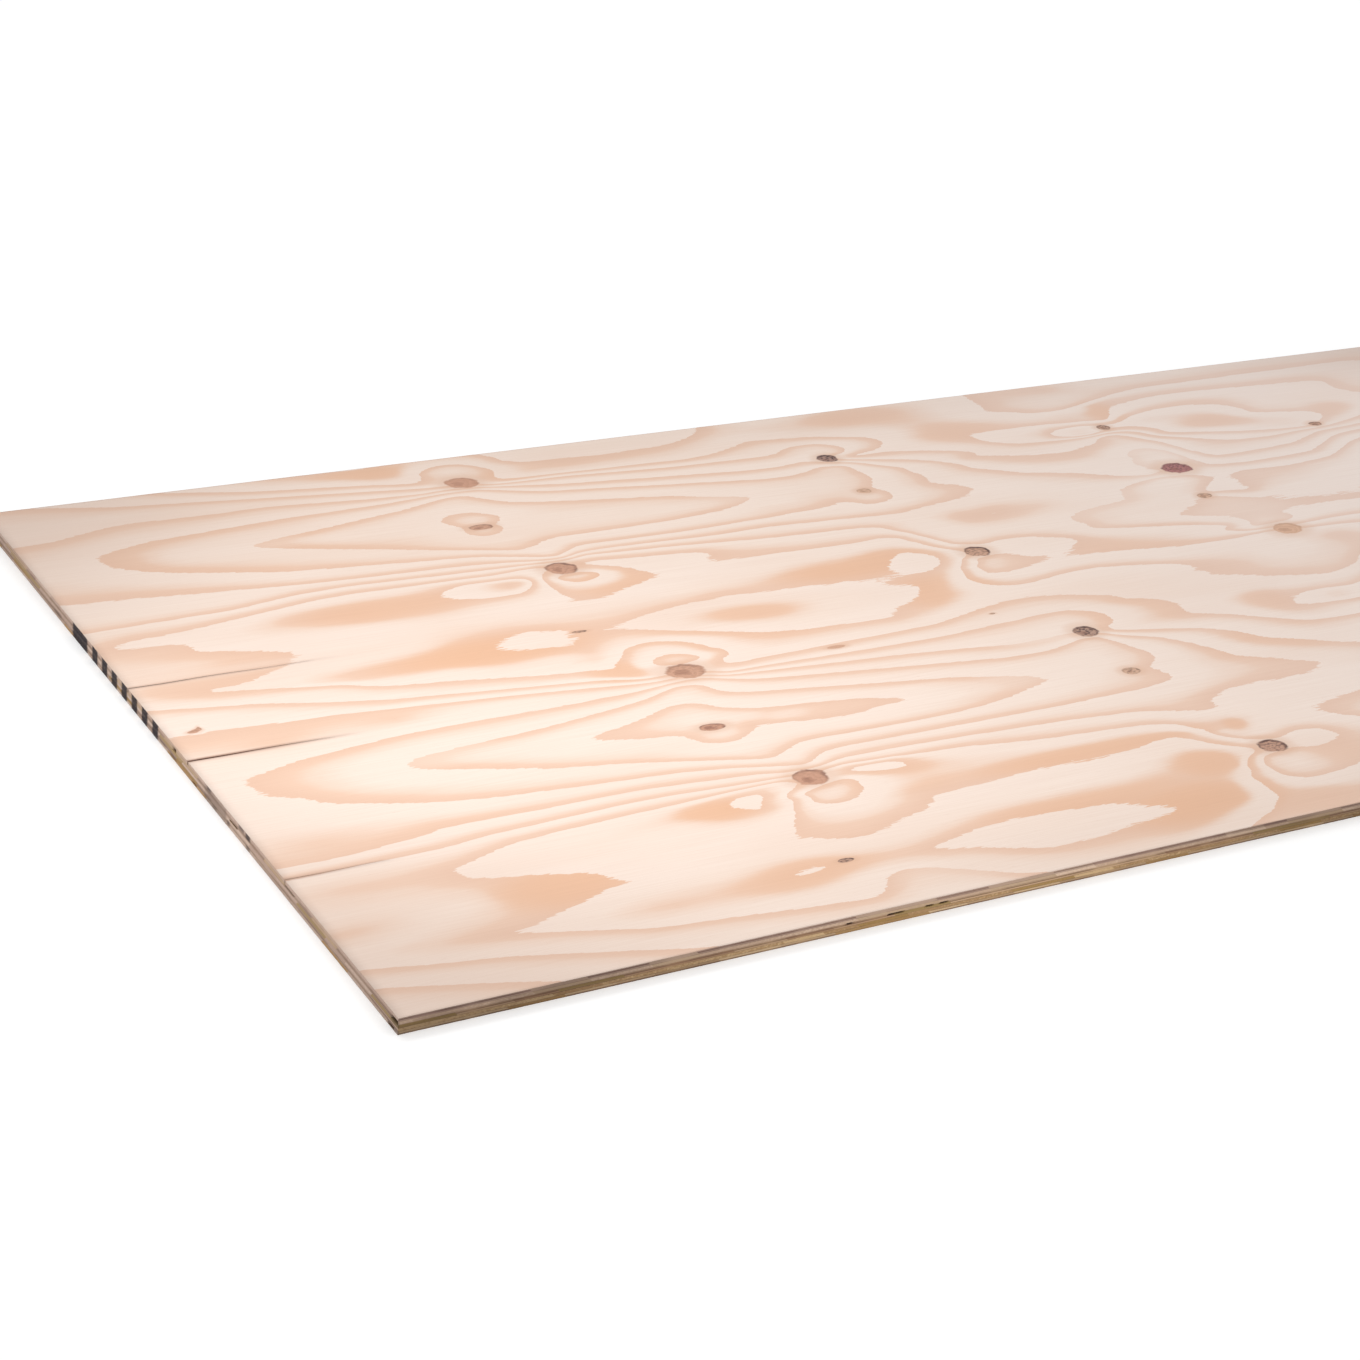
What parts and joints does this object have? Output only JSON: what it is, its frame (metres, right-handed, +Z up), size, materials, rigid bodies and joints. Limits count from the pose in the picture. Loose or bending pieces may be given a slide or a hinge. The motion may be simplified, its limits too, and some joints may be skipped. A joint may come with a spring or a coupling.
{
  "type": "plywood sheet",
  "caption": "Full-size softwood plywood sheet with a knotty rotary-cut pine face, square trimmed edges showing crossed plies, and drying splits at one end.",
  "frame": {"origin": "middle of the underside, on the surface that the sheet lies on", "axes": "+X along the sheet and its face grain, +Y across the sheet, +Z up out of the face"},
  "size_m": [2.44, 1.22, 0.018],
  "materials": {
    "face_wood": "sanded, unfinished rotary-cut pine",
    "inner_wood": "sawn edge, unfinished"
  },
  "bodies": {
    "root": {"face_veneer": "face_wood", "upper_crossband": "inner_wood", "core_veneer": "inner_wood", "lower_crossband": "inner_wood", "back_veneer": "face_wood"}
  },
  "joints": []
}
